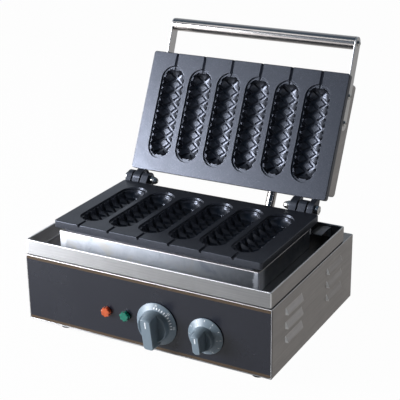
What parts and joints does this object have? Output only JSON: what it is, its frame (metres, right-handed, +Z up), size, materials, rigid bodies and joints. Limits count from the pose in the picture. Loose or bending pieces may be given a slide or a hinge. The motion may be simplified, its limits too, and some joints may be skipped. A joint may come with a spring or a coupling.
{
  "type": "waffle stick maker",
  "caption": "Countertop waffle stick maker with hinged lattice mould plates, steel base box and tray, bar handle, thermostat and timer knobs and two lamps.",
  "frame": {"origin": "on the counter, under the middle of the opened machine's bounding box", "axes": "+X to the right of a person facing the controls, +Y from the front panel to the back, +Z up"},
  "size_m": [0.4092, 0.4269, 0.3928],
  "materials": {
    "brushed_sheet": "satin",
    "bright_steel": "polished",
    "dark_steel": "satin",
    "non_stick_casting": "matte",
    "black_panel": "gloss",
    "knob_grey": "satin",
    "rubber": "matte",
    "black_plastic": "matte",
    "white_plastic": "matte",
    "brass": "satin",
    "orange_lens": "gloss",
    "green_lens": "gloss",
    "element_sheath": "matte",
    "mineral_wool": "matte"
  },
  "bodies": {
    "base": {"base_shell": "brushed_sheet", "front_panel": "black_panel", "bottom_plate": "brushed_sheet", "foot_front_left": "rubber", "foot_front_right": "rubber", "foot_rear_left": "rubber", "foot_rear_right": "rubber", "tray": "brushed_sheet", "tray_bracket_left": "brushed_sheet", "tray_bracket_right": "brushed_sheet", "lower_heater_box": "brushed_sheet", "lower_mould_plate": "non_stick_casting", "lower_element": "element_sheath", "lower_clamp_plate": "brushed_sheet", "lower_wool": "mineral_wool", "lower_stack_screw_1": "bright_steel", "lower_stack_screw_2": "bright_steel", "hinge_set_screw": "dark_steel", "hinge_bolt_left": "bright_steel", "hinge_bolt_right": "bright_steel", "acorn_nut_left": "bright_steel", "acorn_nut_right": "bright_steel", "lid_conduit": "bright_steel", "conduit_grommet": "rubber", "lamp_lens_orange": "orange_lens", "lamp_lens_green": "green_lens", "lamp_body_orange": "black_plastic", "lamp_body_green": "black_plastic", "thermostat_body": "white_plastic", "timer_body": "black_plastic", "terminal_block": "white_plastic", "inlet_gland": "black_plastic", "inlet_gland_nut": "black_plastic"},
    "lid": {"upper_mould_plate": "non_stick_casting", "upper_element": "element_sheath", "upper_clamp_plate": "brushed_sheet", "upper_wool": "mineral_wool", "upper_stack_screw_1": "bright_steel", "upper_stack_screw_2": "bright_steel", "upper_cover": "brushed_sheet", "conduit_nut": "bright_steel", "handle_tube": "bright_steel", "handle_plug_left": "brushed_sheet", "handle_plug_right": "brushed_sheet", "handle_screw_left": "bright_steel", "handle_screw_right": "bright_steel", "strap_left": "bright_steel", "strap_right": "bright_steel", "strap_screw_left_1": "bright_steel", "strap_screw_left_2": "bright_steel", "strap_screw_right_1": "bright_steel", "strap_screw_right_2": "bright_steel"},
    "thermostat": {"thermostat_knob": "knob_grey", "thermostat_shaft": "brass"},
    "timer": {"timer_knob": "knob_grey", "timer_shaft": "brass"}
  },
  "joints": [
    {"name": "lid_hinge", "type": "hinge", "parent": "base", "child": "lid", "pos_m": [0, 0.06114, 0.1608], "axis": [1, 0, 0], "range_deg": [0, 115.8], "deforming": ["lid_conduit"]},
    {"name": "thermostat_turn", "type": "hinge", "parent": "base", "child": "thermostat", "pos_m": [0.0225, -0.18006, 0.0509], "axis": [0, 1, 0], "range_deg": [0, 270]},
    {"name": "timer_turn", "type": "hinge", "parent": "base", "child": "timer", "pos_m": [0.1003, -0.18006, 0.0504], "axis": [0, 1, 0], "range_deg": [0, 300]}
  ]
}
